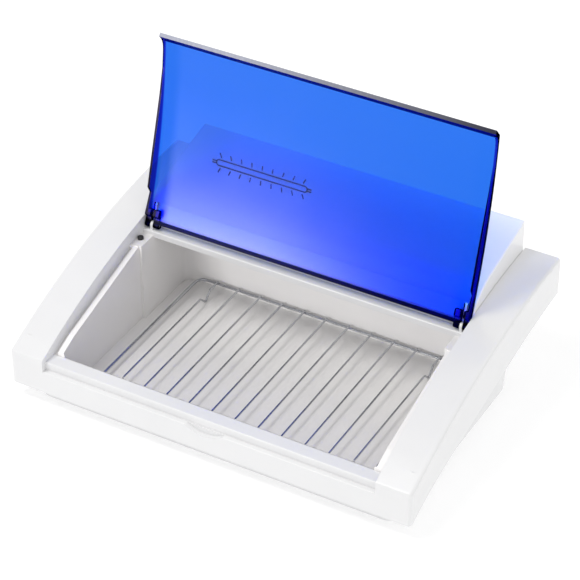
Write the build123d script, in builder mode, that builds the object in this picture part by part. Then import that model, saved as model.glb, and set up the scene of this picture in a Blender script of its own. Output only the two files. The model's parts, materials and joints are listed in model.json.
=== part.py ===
"""Table-top UV sterilizer cabinet: white plastic housing, blue hinged lid, wire rack, germicidal lamp.

Millimetres, +Z up, +X to the right seen from the front, origin at the centre of the footprint.
Side outlines are drawn as (distance behind the front face, height).
"""

import math
import os

from build123d import *

# ---------------------------------------------------------------- housing
WIDTH = 420.0
DEPTH = 300.0
HALF_WIDTH = WIDTH / 2
FRONT_Y = -DEPTH / 2
WALL = 3.0
BELOW = -10.0
ABOVE = 200.0

CROWN_POINTS = ((0, 52), (110, 92.5), (DEPTH, 117))
SKIRT_POINTS = ((0, 16), (51, 34.5), (125, 49.5), (217, 68), (DEPTH, 77))
CORNER_ROUND = 4.0
CROWN_ROUND = 3.0
EDGE_ROUND = 1.2
SMALL_ROUND = 0.8

ARM_INNER_X = 174.0
SHELF_HEIGHT = 40.0
SHELF_DEPTH = 5.5
STRIP_HEIGHT = 48.0
OPENING_FRONT = 20.4
OPENING_GAP = 0.05
BRIDGE_FRONT = 178.0
BRIDGE_BACK = 188.2
BRIDGE_HEIGHT = 94.4
BRIDGE_FOOT = 88.0
BRIDGE_SKIN = 2.5

NOTCH_HALF_WIDTH = 20.0
NOTCH_HEIGHT = 6.0
NOTCH_DEPTH = 4.2

# ---------------------------------------------------------------- base shell
BASE_HALF_WIDTH = 190.0
BASE_FRONT = 12.0
BASE_BACK = 242.0
BASE_BOTTOM = 1.5
BASE_FLOOR = 1.5
BASE_DRAFT = 4.0
BASE_CORNER = 14.0
BASE_WALL_REACH = 90.0
FLANGE_LIFT = 3.2
FLANGE_TOP = FLANGE_LIFT + WALL
FOOT_RADIUS = 8.0
FOOT_ROUND = 0.4
FOOT_PLACES = ((-165.0, 32.0), (165.0, 32.0), (-165.0, 222.0), (165.0, 222.0))

# ---------------------------------------------------------------- chamber tub
TUB_WALL = 2.5
TUB_BOTTOM = 3.1
TUB_FLOOR = 4.9
TUB_DRAFT = 0.7
TUB_HALF_WIDTH = 164.0
TUB_REAR_HALF_WIDTH = 161.0
TUB_FRONT = 21.0
TUB_STEP = 155.0
TUB_BACK = 235.5
TUB_FRONT_CORNER = 2.0
TUB_BACK_CORNER = 12.0
RIM_OUTER_X = 170.2
RIM_WALL = 3.6
RIM_POINTS = ((OPENING_FRONT + 2 * OPENING_GAP, 50.5), (40, 58.5), (TUB_STEP, 89.3))
CHANNEL_DROP = 4.0
CHANNEL_OUTER_X = 181.0
LEDGE_HEIGHT = 90.2
REAR_FLANGE_BACK = 250.0

# ---------------------------------------------------------------- lid, drawn closed about its hinge axis
HINGE_DISTANCE = 183.5
HINGE_HEIGHT = 99.0
LID_OPEN = math.radians(118.0)
LID_HALF_WIDTH = 172.9
LID_THICKNESS = 3.0
LID_BACK_EDGE = (-1.2, 2.24)
LID_FRONT_EDGE = (1.0 - HINGE_DISTANCE, 52.0 - HINGE_HEIGHT)
LID_SAGITTA = 6.55
FRONT_FLANGE = (LID_FRONT_EDGE, (-186.7, -57.5), (-183.1, -58.0), (-179.3, -49.0))
FLANGE_WEB = ((-181.9, -55.2), (-177.8, -49.3), (-172.0, -45.7))
SIDE_FLANGE_INNER_X = 170.5
SIDE_FLANGE_REACH = 16.0
SIDE_FLANGE_END = -14.0
SIDE_FLANGE_EDGE = (
    (-174.3, -43.4),
    (-129.1, -32.6),
    (-72.2, -22.0),
    (-36.0, -14.7),
    (-31.0, -8.2),
    (SIDE_FLANGE_END, -8.0),
)
BACK_RIB = (4.5, 1.0)
LUG_LENGTH = 15.0
LUG_DEPTH = 8.0
LUG_ROUND = 3.5
LUG_OUTLINE = (
    (-LUG_LENGTH, -2.0),
    (-LUG_LENGTH, -LUG_DEPTH),
    (-9.0, -LUG_DEPTH),
    (-6.5, -LUG_ROUND),
    (0.0, -LUG_ROUND),
    (LUG_ROUND, 0.0),
    (0.9, 1.5),
)
LUG_INNER_X = 158.0
SLOT_INNER_X = 164.0
SLOT_OUTER_X = 167.4
SIDE_CLEARANCE = 0.3
PIN_RADIUS = 1.25
RUNNING_FIT = 0.05
KNUCKLE_ROUND = 3.3

# ---------------------------------------------------------------- rear cover
REAR_HALF_WIDTH = 173.7
REAR_FRONT = 188.4
REAR_BACK = 296.0
REAR_FOOT = 83.5
REAR_TOP = 149.5
REAR_SWEEP = ((222.0, 132.8), (206.0, 126.3), (195.2, 117.5))
REAR_OUTLINE = (
    REAR_SWEEP[2],
    (REAR_FRONT, 104.5),
    (REAR_FRONT, BRIDGE_FOOT + 0.2),
    (REAR_BACK, REAR_FOOT),
    (REAR_BACK, REAR_TOP),
    REAR_SWEEP[0],
)
REAR_ROUNDED_ABOVE = 105.0
REAR_OPEN_BELOW = 100.0
REAR_WALL_SCREWS = (-160.0, 160.0)
REAR_SCREW_HEIGHT = 93.0
POST_SIZE = 11.0

# ---------------------------------------------------------------- wire rack
RAIL_RADIUS = 1.4
WIRE_RADIUS = 0.95
RACK_HALF_WIDTH = 144.5
RACK_FRONT = 35.0
RACK_BACK = 231.5
RACK_CORNER = 9.0
RAIL_HEIGHT = 12.0
WIRE_COUNT = 11
WIRE_PITCH = 24.66
WELD_DEPTH = 0.15
DIP_LENGTH = 9.0
DIP_BEND = 2.0
DIP_CLEARANCE = 0.3
DIP_PLACES = (48.0, 207.0)

# ---------------------------------------------------------------- lamp: 8 W tube, 16 mm across, 288 mm long
LAMP_DISTANCE = 214.0
LAMP_HEIGHT = 103.0
TUBE_RADIUS = 8.0
GLASS_WALL = 0.8
TUBE_HALF_LENGTH = 144.0
CAP_LENGTH = 12.0
LAMP_PIN_RADIUS = 1.2
LAMP_PIN_SPACING = 5.0
LAMP_PIN_LENGTH = 7.0
LAMP_PIN_FIT = 0.1
HOLDER_START = 145.0
HOLDER_THICKNESS = 11.0
HOLDER_WIDTH = 22.0
HOLDER_FOOT = 92.0
REFLECTOR_HALF_LENGTH = 161.0
REFLECTOR_SHEET = 0.8
REFLECTOR_TOP = 116.0
REFLECTOR_OUTLINE = (
    (192.0, BRIDGE_FOOT),
    (192.0, 104.0),
    (200.8, REFLECTOR_TOP),
    (226.4, REFLECTOR_TOP),
    (237.0, 104.0),
    (237.0, BRIDGE_FOOT + REFLECTOR_SHEET),
    (REAR_FLANGE_BACK, BRIDGE_FOOT + REFLECTOR_SHEET),
    (REAR_FLANGE_BACK, BRIDGE_FOOT),
    (236.2, BRIDGE_FOOT),
    (236.2, 103.7),
    (226.0, REFLECTOR_TOP - REFLECTOR_SHEET),
    (201.2, REFLECTOR_TOP - REFLECTOR_SHEET),
    (192.8, 103.7),
    (192.8, BRIDGE_FOOT),
)

# ---------------------------------------------------------------- electrical parts
BALLAST_X = 50.0
BALLAST_DISTANCE = 270.0
BALLAST_FOOT_HEIGHT = 86.0
BALLAST_PLATE = (80.0, 24.0, 1.5)
BALLAST_CORE = (50.0, 32.0, 26.0)
BALLAST_SCREW_SPACING = 68.0
BALLAST_SCREW_XS = (BALLAST_X - BALLAST_SCREW_SPACING / 2, BALLAST_X + BALLAST_SCREW_SPACING / 2)
STARTER_X = -38.0
STARTER_HEIGHT = 98.0
STARTER_RADIUS = 8.75
STARTER_LENGTH = 34.0
SOCKET_SIZE = (11.0, 22.0, 26.0)

INTERLOCK_X = -170.0
INTERLOCK_DISTANCE = 167.2
PLUNGER_RADIUS = 3.0
PLUNGER_FIT = 0.08
PLUNGER_TOP = 92.9
PLUNGER_LENGTH = 11.9
INTERLOCK_SIZE = (9.0, 18.0, 14.5)
INTERLOCK_TOP = 87.6
INTERLOCK_TERMINAL = (3.2, 0.6)
INTERLOCK_TERMINAL_PITCH = 6.5
INTERLOCK_TERMINAL_LENGTH = 6.5

SWITCH_X = -95.0
INLET_X = -130.0
REAR_PARTS_HEIGHT = 115.0
SWITCH_BODY = (13.6, 18.8)
SWITCH_FLANGE = (16.0, 21.5)
SWITCH_FLANGE_ROUND = 1.5
SWITCH_BODY_DEPTH = 16.0
SWITCH_TERMINAL = (4.8, 0.8)
SWITCH_TERMINAL_PITCH = 9.0
SWITCH_TERMINAL_LENGTH = 8.0
FLANGE_PLATE = 2.0
ROCKER_POCKET = (11.4, 16.2)
ROCKER_POCKET_DEPTH = 9.0
ROCKER_OUTLINE = ((3.4, -7.2), (2.0, 0), (3.4, 7.2), (-0.5, 7.2), (-4.0, 4.0), (-4.0, -4.0), (-0.5, -7.2))
ROCKER_HALF_WIDTH = 5.4
ROCKER_RECESS = 1.2
ROCKER_REST_TILT = math.radians(10.0)
TRUNNION_RADIUS = 1.0
INLET_BODY = (22.0, 11.0)
INLET_FLANGE = (29.0, 15.0)
INLET_FLANGE_ROUND = 4.0
INLET_DEPTH = 17.0
INLET_CAVITY_DEPTH = 13.0
INLET_CAVITY = (16.0, 7.6)
INLET_PIN_RADIUS = 1.2
INLET_PIN_SPACING = 8.6
INLET_PIN_TIP = 4.0
CUTOUT_GAP = 0.2

# ---------------------------------------------------------------- screws
SCREW_RADIUS = 1.5
SCREW_FIT = 0.05
SCREW_HEAD_RADIUS = 3.0
SCREW_HEAD_HEIGHT = 1.8
SCREW_LENGTH = 10.0
RECESS_LENGTH = 3.4
RECESS_WIDTH = 0.8
RECESS_DEPTH = 1.1
BOSS_RADIUS = 4.5
BASE_SCREW_PLACES = [(x, d) for x in (-200.0, 200.0) for d in (24.0, 150.0, 280.0)]
REFLECTOR_SCREW_PLACES = ((-120.0, 244.5), (120.0, 244.5))

# ---------------------------------------------------------------- planes, outlines and helpers
SIDE = Plane(origin=(0, FRONT_Y, 0), x_dir=(0, 1, 0), z_dir=(1, 0, 0))
PLAN = Plane(origin=(0, FRONT_Y, 0))
FRONT = Plane(origin=(0, FRONT_Y, 0), x_dir=(1, 0, 0), z_dir=(0, -1, 0))
REAR = Plane(origin=(0, FRONT_Y + REAR_BACK, 0), x_dir=(-1, 0, 0), z_dir=(0, 1, 0))
LID = Plane(
    origin=(0, FRONT_Y + HINGE_DISTANCE, HINGE_HEIGHT),
    x_dir=(0, math.cos(LID_OPEN), -math.sin(LID_OPEN)),
    z_dir=(1, 0, 0),
)
ROCKER = Plane(
    origin=(SWITCH_X, FRONT_Y + REAR_BACK - ROCKER_RECESS, REAR_PARTS_HEIGHT),
    x_dir=(0, math.cos(ROCKER_REST_TILT), -math.sin(ROCKER_REST_TILT)),
    z_dir=(1, 0, 0),
)

CROWN = ThreePointArc(*CROWN_POINTS)
SKIRT = Spline(*SKIRT_POINTS)


def height_at(curve, distance):
    """Height of a side outline at a distance behind the front face."""
    low, high = 0.0, 1.0
    for _ in range(40):
        middle = (low + high) / 2
        if curve.position_at(middle).X < distance:
            low = middle
        else:
            high = middle
    return curve.position_at((low + high) / 2).Y


def raised(points, lift):
    """Outline points moved up by lift."""
    return [(distance, height + lift) for distance, height in points]


def between(low_curve, high_curve, start=0.0, end=DEPTH):
    """Face between two side outlines that both run from the front to the back, in the current sketch."""
    with BuildLine() as outline:
        add(low_curve)
        Line(low_curve @ 1, high_curve @ 1)
        add(high_curve)
        Line(high_curve @ 0, low_curve @ 0)
    make_face(outline.edges())
    with Locations(((start + end) / 2, 0)):
        Rectangle(end - start, 4 * ABOVE, mode=Mode.INTERSECT)


def rim_band(top, bottom):
    """Face of the straight-bent band that follows the tub's rim."""
    Polygon(*raised(RIM_POINTS, top), *raised(RIM_POINTS, bottom)[::-1], align=None)


def tub_plan():
    """Plan of the tub's inside: wide in front, narrower behind the two corner columns."""
    with BuildSketch() as plan:
        Polygon(
            (-TUB_HALF_WIDTH, TUB_FRONT),
            (TUB_HALF_WIDTH, TUB_FRONT),
            (TUB_HALF_WIDTH, TUB_STEP),
            (TUB_REAR_HALF_WIDTH, TUB_STEP),
            (TUB_REAR_HALF_WIDTH, TUB_BACK),
            (-TUB_REAR_HALF_WIDTH, TUB_BACK),
            (-TUB_REAR_HALF_WIDTH, TUB_STEP),
            (-TUB_HALF_WIDTH, TUB_STEP),
            align=None,
        )
        fillet(plan.vertices().group_by(Axis.Y)[0], TUB_FRONT_CORNER)
        fillet(plan.vertices().group_by(Axis.Y)[-1], TUB_BACK_CORNER)
    return plan


def screw_cross():
    """Driver cross of a screw head, in the current sketch."""
    Rectangle(RECESS_LENGTH, RECESS_WIDTH)
    Rectangle(RECESS_WIDTH, RECESS_LENGTH)


def save(builder, name):
    """Write one finished piece."""
    builder.part.label = name
    export_step(builder.part, f"parts/{name}.step")


os.makedirs("parts", exist_ok=True)
SKIRT_FLANGE_FOOT = SKIRT.translate((0, FLANGE_LIFT, 0))
SKIRT_FLANGE_TOP = SKIRT.translate((0, FLANGE_TOP, 0))
CEILING = Line((0, ABOVE), (DEPTH, ABOVE))
GROUND = Line((0, BELOW), (DEPTH, BELOW))

# ---------------------------------------------------------------- top cover
with BuildPart() as top_cover:
    with BuildSketch(SIDE.offset(-HALF_WIDTH)):
        between(SKIRT, CROWN)
    extrude(amount=WIDTH)
    fillet(top_cover.edges().filter_by(Axis.Z).group_by(Axis.Y)[0], CORNER_ROUND)
    crown_face = top_cover.faces().filter_by(GeomType.CYLINDER).sort_by(SortBy.AREA)[-1]
    fillet(crown_face.edges().sort_by(Axis.Y)[:-1], CROWN_ROUND)
    # gap between the arms, leaving the front lip and the hinge bridge
    with BuildSketch(SIDE.offset(-ARM_INNER_X)):
        Polygon(
            (-1, SHELF_HEIGHT),
            (SHELF_DEPTH, SHELF_HEIGHT),
            (SHELF_DEPTH, STRIP_HEIGHT),
            (OPENING_FRONT, STRIP_HEIGHT),
            (OPENING_FRONT, BELOW),
            (BRIDGE_FRONT, BELOW),
            (BRIDGE_FRONT, BRIDGE_HEIGHT),
            (BRIDGE_BACK, BRIDGE_HEIGHT),
            (BRIDGE_BACK, BELOW),
            (DEPTH + 1, BELOW),
            (DEPTH + 1, ABOVE),
            (-1, ABOVE),
            align=None,
        )
    extrude(amount=2 * ARM_INNER_X, mode=Mode.SUBTRACT)
    corners = (
        (0, SHELF_HEIGHT),
        (SHELF_DEPTH, STRIP_HEIGHT),
        (OPENING_FRONT, STRIP_HEIGHT),
        (BRIDGE_FRONT, BRIDGE_HEIGHT),
        (BRIDGE_BACK, BRIDGE_HEIGHT),
    )
    along = top_cover.edges().filter_by(Axis.X)
    fillet([along.sort_by_distance((0, FRONT_Y + d, z))[0] for d, z in corners], EDGE_ROUND)
    # hollow of each arm
    for start in (-HALF_WIDTH + WALL, ARM_INNER_X + WALL):
        with BuildSketch(SIDE.offset(start)):
            between(GROUND, CROWN.translate((0, -WALL, 0)), WALL, DEPTH - WALL)
        extrude(amount=HALF_WIDTH - ARM_INNER_X - 2 * WALL, mode=Mode.SUBTRACT)
    # underside of the front lip, of the arms' inner walls and of the bridge
    with BuildSketch(SIDE.offset(-ARM_INNER_X - WALL)):
        Polygon(
            (WALL, BELOW),
            (WALL, SHELF_HEIGHT - WALL),
            (SHELF_DEPTH + WALL, SHELF_HEIGHT - WALL),
            (SHELF_DEPTH + WALL, STRIP_HEIGHT - WALL),
            (OPENING_FRONT, STRIP_HEIGHT - WALL),
            *raised(RIM_POINTS, -CHANNEL_DROP),
            (TUB_STEP, LEDGE_HEIGHT),
            (BRIDGE_FRONT, LEDGE_HEIGHT),
            (BRIDGE_FRONT, BRIDGE_FOOT),
            (BRIDGE_BACK, BRIDGE_FOOT),
            (BRIDGE_BACK, BRIDGE_HEIGHT),
            (DEPTH - WALL, BRIDGE_HEIGHT + 2 * WALL),
            (DEPTH - WALL, BELOW),
            align=None,
        )
    extrude(amount=2 * (ARM_INNER_X + WALL), mode=Mode.SUBTRACT)
    with BuildSketch(SIDE.offset(-ARM_INNER_X)):
        with Locations(((BRIDGE_FRONT + BRIDGE_BACK) / 2, BRIDGE_HEIGHT - BRIDGE_SKIN)):
            Rectangle(
                BRIDGE_BACK - BRIDGE_FRONT - 2 * BRIDGE_SKIN,
                2 * (BRIDGE_HEIGHT - BRIDGE_SKIN - BRIDGE_FOOT),
            )
        with Locations(((BRIDGE_FRONT + BRIDGE_BACK) / 2, BRIDGE_HEIGHT)):
            Rectangle(BRIDGE_BACK - BRIDGE_FRONT, 2 * BRIDGE_SKIN, mode=Mode.SUBTRACT)
    extrude(amount=2 * ARM_INNER_X, mode=Mode.SUBTRACT)
    # hinge knuckles on the bridge, one between each pair of lid lugs
    for side in (-1, 1):
        with BuildSketch(SIDE.offset(side * (SLOT_INNER_X + SLOT_OUTER_X) / 2)):
            with Locations((HINGE_DISTANCE, HINGE_HEIGHT)):
                Circle(KNUCKLE_ROUND)
            with Locations((HINGE_DISTANCE, (HINGE_HEIGHT + BRIDGE_HEIGHT - 1) / 2)):
                Rectangle(2 * KNUCKLE_ROUND, HINGE_HEIGHT - BRIDGE_HEIGHT + 1)
            with Locations((HINGE_DISTANCE, HINGE_HEIGHT)):
                Circle(PIN_RADIUS, mode=Mode.SUBTRACT)
        extrude(amount=(SLOT_OUTER_X - SLOT_INNER_X) / 2 - SIDE_CLEARANCE, both=True)
    # screw bosses hang from the arms' tops down to the seat of the base's flange
    for x, distance in BASE_SCREW_PLACES:
        foot = height_at(SKIRT, distance)
        with BuildSketch(PLAN.offset(foot)):
            with Locations((x, distance)):
                Circle(BOSS_RADIUS)
        extrude(amount=height_at(CROWN, distance) - WALL / 2 - foot)
    with BuildSketch(SIDE.offset(-HALF_WIDTH + WALL)):
        between(GROUND, SKIRT_FLANGE_TOP, WALL, DEPTH - WALL)
    extrude(amount=WIDTH - 2 * WALL, mode=Mode.SUBTRACT)
    with Locations(*[(x, FRONT_Y + d, height_at(SKIRT, d) + SCREW_LENGTH) for x, d in BASE_SCREW_PLACES]):
        Cylinder(SCREW_RADIUS + SCREW_FIT, 2 * SCREW_LENGTH, mode=Mode.SUBTRACT)
    # finger notch under the lid's front edge, with its own backing
    with BuildSketch(FRONT.offset(-WALL / 2)):
        with Locations((0, SHELF_HEIGHT - WALL / 2 - NOTCH_HEIGHT)):
            Rectangle(2 * NOTCH_HALF_WIDTH + 2 * WALL, 2 * NOTCH_HEIGHT)
    extrude(amount=-(NOTCH_DEPTH + WALL / 2))
    notch_radius = (NOTCH_HALF_WIDTH**2 + NOTCH_HEIGHT**2) / (2 * NOTCH_HEIGHT)
    with BuildSketch(FRONT.offset(1)):
        with Locations((0, SHELF_HEIGHT - NOTCH_HEIGHT + notch_radius)):
            Circle(notch_radius)
        with Locations((0, SHELF_HEIGHT)):
            Rectangle(2 * HALF_WIDTH, 2 * NOTCH_HEIGHT, mode=Mode.INTERSECT)
        with Locations((0, SHELF_HEIGHT + NOTCH_HEIGHT)):
            Rectangle(2 * HALF_WIDTH, 2 * NOTCH_HEIGHT, mode=Mode.SUBTRACT)
    extrude(amount=-(NOTCH_DEPTH + 1), mode=Mode.SUBTRACT)
save(top_cover, "top_cover")

# ---------------------------------------------------------------- base shell
with BuildPart() as base_shell:
    base_middle = (BASE_FRONT + BASE_BACK) / 2
    base_length = BASE_BACK - BASE_FRONT
    with BuildSketch(PLAN.offset(BASE_BOTTOM)):
        with Locations((0, base_middle)):
            RectangleRounded(2 * BASE_HALF_WIDTH, base_length, BASE_CORNER)
    extrude(amount=BASE_WALL_REACH, taper=-BASE_DRAFT)
    # the walls end at a flange that follows the housing's lower edge
    with BuildSketch(SIDE.offset(-HALF_WIDTH)):
        between(SKIRT_FLANGE_TOP, CEILING)
    extrude(amount=WIDTH, mode=Mode.SUBTRACT)
    with BuildSketch(SIDE.offset(-HALF_WIDTH + WALL)):
        between(SKIRT_FLANGE_FOOT, SKIRT_FLANGE_TOP, WALL, DEPTH - WALL)
    extrude(amount=WIDTH - 2 * WALL)
    with BuildSketch(PLAN.offset(BASE_BOTTOM + BASE_FLOOR)):
        with Locations((0, base_middle)):
            RectangleRounded(2 * (BASE_HALF_WIDTH - WALL), base_length - 2 * WALL, BASE_CORNER - WALL)
    extrude(amount=BASE_WALL_REACH, taper=-BASE_DRAFT, mode=Mode.SUBTRACT)
    # posts for the ballast and for the rear cover's screws
    for x in BALLAST_SCREW_XS:
        foot = height_at(SKIRT, BALLAST_DISTANCE) + FLANGE_LIFT
        with BuildSketch(PLAN.offset(foot)):
            with Locations((x, BALLAST_DISTANCE)):
                Circle(BOSS_RADIUS)
                Circle(SCREW_RADIUS + SCREW_FIT, mode=Mode.SUBTRACT)
        extrude(amount=BALLAST_FOOT_HEIGHT - foot)
    post_distance = REAR_BACK - WALL - POST_SIZE / 2
    for x in REAR_WALL_SCREWS:
        foot = height_at(SKIRT, post_distance - POST_SIZE / 2) + FLANGE_TOP
        with BuildSketch(PLAN.offset(foot - WALL / 2)):
            with Locations((x, post_distance)):
                Rectangle(POST_SIZE, POST_SIZE)
        extrude(amount=REAR_SCREW_HEIGHT + POST_SIZE / 2 - foot + WALL / 2)
    with BuildSketch(REAR.offset(-WALL)):
        with Locations(*[(x, REAR_SCREW_HEIGHT) for x in REAR_WALL_SCREWS]):
            Circle(SCREW_RADIUS + SCREW_FIT)
    extrude(amount=-SCREW_LENGTH, mode=Mode.SUBTRACT)
    with Locations(*[(x, FRONT_Y + d, height_at(SKIRT, d) + WALL) for x, d in BASE_SCREW_PLACES]):
        Cylinder(SCREW_RADIUS + SCREW_FIT, 4 * WALL, mode=Mode.SUBTRACT)
save(base_shell, "base_shell")

# ---------------------------------------------------------------- chamber tub
with BuildPart() as chamber_tub:
    with BuildSketch(PLAN.offset(TUB_BOTTOM)):
        add(tub_plan().sketch)
        offset(amount=TUB_WALL)
    extrude(amount=ABOVE / 2, taper=-TUB_DRAFT)
    # rim, its drop into the channel, and the channel's floor under the arms
    with BuildSketch(SIDE.offset(-RIM_OUTER_X)):
        rim_band(0, -TUB_WALL)
    extrude(amount=2 * RIM_OUTER_X)
    for side in (-1, 1):
        drop_start = side * (RIM_OUTER_X - RIM_WALL)
        with BuildSketch(SIDE.offset(drop_start)):
            rim_band(0, -CHANNEL_DROP - TUB_WALL)
        extrude(amount=side * RIM_WALL)
        with BuildSketch(SIDE.offset(drop_start)):
            rim_band(-CHANNEL_DROP, -CHANNEL_DROP - TUB_WALL)
        extrude(amount=side * (CHANNEL_OUTER_X - RIM_OUTER_X + RIM_WALL))
        # stop at the channel's upper end
        with BuildSketch(SIDE.offset(drop_start)):
            with Locations((TUB_STEP - TUB_WALL / 2, LEDGE_HEIGHT - WALL)):
                Rectangle(TUB_WALL, 2 * WALL)
        extrude(amount=side * (ARM_INNER_X - RIM_OUTER_X + RIM_WALL))
    # ledge over the corner columns and flange behind the chamber
    with BuildSketch(SIDE.offset(-CHANNEL_OUTER_X)):
        with Locations(((TUB_STEP + BRIDGE_FRONT) / 2, LEDGE_HEIGHT - TUB_WALL / 2)):
            Rectangle(BRIDGE_FRONT - TUB_STEP, TUB_WALL)
    extrude(amount=2 * CHANNEL_OUTER_X)
    with BuildSketch(SIDE.offset(-TUB_REAR_HALF_WIDTH)):
        with Locations(((TUB_BACK + REAR_FLANGE_BACK) / 2, BRIDGE_FOOT - TUB_WALL / 2)):
            Rectangle(REAR_FLANGE_BACK - TUB_BACK, TUB_WALL)
    extrude(amount=2 * TUB_REAR_HALF_WIDTH)
    # everything above the rim line, then the chamber itself
    with BuildSketch(SIDE.offset(-HALF_WIDTH)):
        Polygon(
            (0, STRIP_HEIGHT - WALL),
            (OPENING_FRONT + OPENING_GAP, STRIP_HEIGHT - WALL),
            *raised(RIM_POINTS, 0.0),
            (TUB_STEP, LEDGE_HEIGHT),
            (BRIDGE_FRONT, LEDGE_HEIGHT),
            (BRIDGE_FRONT, BRIDGE_FOOT),
            (DEPTH, BRIDGE_FOOT),
            (DEPTH, ABOVE),
            (0, ABOVE),
            align=None,
        )
    extrude(amount=WIDTH, mode=Mode.SUBTRACT)
    with BuildSketch(PLAN.offset(TUB_FLOOR)):
        add(tub_plan().sketch)
    extrude(amount=ABOVE / 2, taper=-TUB_DRAFT, mode=Mode.SUBTRACT)
    with Locations((INTERLOCK_X, FRONT_Y + INTERLOCK_DISTANCE, LEDGE_HEIGHT)):
        Cylinder(PLUNGER_RADIUS + PLUNGER_FIT, 4 * TUB_WALL, mode=Mode.SUBTRACT)
    with Locations(*[(x, FRONT_Y + d, BRIDGE_FOOT) for x, d in REFLECTOR_SCREW_PLACES]):
        Cylinder(SCREW_RADIUS + SCREW_FIT, 4 * TUB_WALL, mode=Mode.SUBTRACT)
save(chamber_tub, "chamber_tub")

# ---------------------------------------------------------------- lid
with BuildPart() as lid:
    lid_arc = SagittaArc(LID_FRONT_EDGE, LID_BACK_EDGE, LID_SAGITTA)
    back_u, back_v = LID_BACK_EDGE
    rib_depth, rib_start = BACK_RIB
    with BuildSketch(LID.offset(-LID_HALF_WIDTH)):
        between(lid_arc.translate((0, -LID_THICKNESS, 0)), lid_arc, -DEPTH, DEPTH)
        Polygon(*FRONT_FLANGE, align=None)
        with Locations((back_u - LID_THICKNESS / 2, back_v - rib_start - rib_depth / 2)):
            Rectangle(LID_THICKNESS, rib_depth)
    extrude(amount=2 * LID_HALF_WIDTH)
    for side in (-1, 1):
        flange_plane = LID.offset(side * SIDE_FLANGE_INNER_X)
        with BuildSketch(flange_plane):
            between(lid_arc.translate((0, -SIDE_FLANGE_REACH, 0)), lid_arc, -DEPTH, SIDE_FLANGE_END)
            above_edge = (*SIDE_FLANGE_EDGE, (SIDE_FLANGE_END, DEPTH), (-DEPTH, DEPTH))
            Polygon(*above_edge, align=None, mode=Mode.INTERSECT)
        extrude(amount=side * (LID_HALF_WIDTH - SIDE_FLANGE_INNER_X))
        # web that rounds the side flange into the front flange
        with BuildSketch(flange_plane):
            with BuildLine() as web:
                ThreePointArc(*FLANGE_WEB)
                Polyline(FLANGE_WEB[-1], LID_FRONT_EDGE, FLANGE_WEB[0])
            make_face(web.edges())
        extrude(amount=side * (LID_HALF_WIDTH - SIDE_FLANGE_INNER_X))
        # a pair of hinge lugs with the knuckle's slot between them
        with BuildSketch(LID.offset(side * LUG_INNER_X)):
            Polygon(*LUG_OUTLINE, align=None)
            Circle(LUG_ROUND)
        extrude(amount=side * (LID_HALF_WIDTH - LUG_INNER_X))
        with BuildSketch(LID.offset(side * SLOT_INNER_X)):
            with Locations((-LUG_LENGTH / 2, 0)):
                Rectangle(LUG_LENGTH + 4 * LUG_ROUND, 6 * LUG_ROUND)
        extrude(amount=side * (SLOT_OUTER_X - SLOT_INNER_X), mode=Mode.SUBTRACT)
    with BuildSketch(LID.offset(-LID_HALF_WIDTH)):
        Circle(PIN_RADIUS + RUNNING_FIT)
    extrude(amount=2 * LID_HALF_WIDTH, mode=Mode.SUBTRACT)
save(lid, "lid")

# ---------------------------------------------------------------- hinge pins
for side, name in ((-1, "hinge_pin_left"), (1, "hinge_pin_right")):
    with BuildPart() as hinge_pin:
        with BuildSketch(LID.offset(side * (LUG_INNER_X + SIDE_CLEARANCE))):
            Circle(PIN_RADIUS)
        extrude(amount=side * (LID_HALF_WIDTH - LUG_INNER_X - 2 * SIDE_CLEARANCE))
    save(hinge_pin, name)

# ---------------------------------------------------------------- rear cover
with BuildPart() as rear_cover:
    with BuildSketch(SIDE.offset(-REAR_HALF_WIDTH)) as rear_outline:
        with BuildLine():
            Polyline(*REAR_OUTLINE)
            ThreePointArc(*REAR_SWEEP)
        make_face()
    extrude(amount=2 * REAR_HALF_WIDTH)
    upper = rear_cover.edges().filter_by(lambda edge: edge.center().Z > REAR_ROUNDED_ABOVE)
    for end in (0, -1):
        fillet(upper.group_by(Axis.X)[end], CROWN_ROUND / 2)
    with BuildSketch(SIDE.offset(-REAR_HALF_WIDTH + WALL)):
        add(rear_outline.sketch_local)
        offset(amount=-WALL, mode=Mode.REPLACE)
        Polygon(
            (REAR_FRONT + WALL, BELOW),
            (REAR_FRONT + WALL, REAR_OPEN_BELOW),
            (REAR_BACK - WALL, REAR_OPEN_BELOW),
            (REAR_BACK - WALL, BELOW),
            align=None,
        )
    extrude(amount=2 * (REAR_HALF_WIDTH - WALL), mode=Mode.SUBTRACT)
    with BuildSketch(REAR.offset(1)):
        with Locations((-SWITCH_X, REAR_PARTS_HEIGHT)):
            Rectangle(SWITCH_BODY[0] + CUTOUT_GAP, SWITCH_BODY[1] + CUTOUT_GAP)
        with Locations((-INLET_X, REAR_PARTS_HEIGHT)):
            Rectangle(INLET_BODY[0] + CUTOUT_GAP, INLET_BODY[1] + CUTOUT_GAP)
        with Locations(*[(x, REAR_SCREW_HEIGHT) for x in REAR_WALL_SCREWS]):
            Circle(SCREW_RADIUS + SCREW_FIT)
    extrude(amount=-2 * WALL, mode=Mode.SUBTRACT)
save(rear_cover, "rear_cover")

# ---------------------------------------------------------------- wire rack
with BuildPart() as rack_frame:
    with BuildLine(PLAN.offset(RAIL_HEIGHT)) as rail_path:
        FilletPolyline(
            (RACK_HALF_WIDTH, RACK_FRONT),
            (RACK_HALF_WIDTH, RACK_BACK),
            (-RACK_HALF_WIDTH, RACK_BACK),
            (-RACK_HALF_WIDTH, RACK_FRONT),
            radius=RACK_CORNER,
            close=True,
        )
    with BuildSketch(Plane(origin=rail_path.wire() @ 0, z_dir=rail_path.wire() % 0)):
        Circle(RAIL_RADIUS)
    sweep(path=rail_path.wire())
save(rack_frame, "rack_frame")

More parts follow.
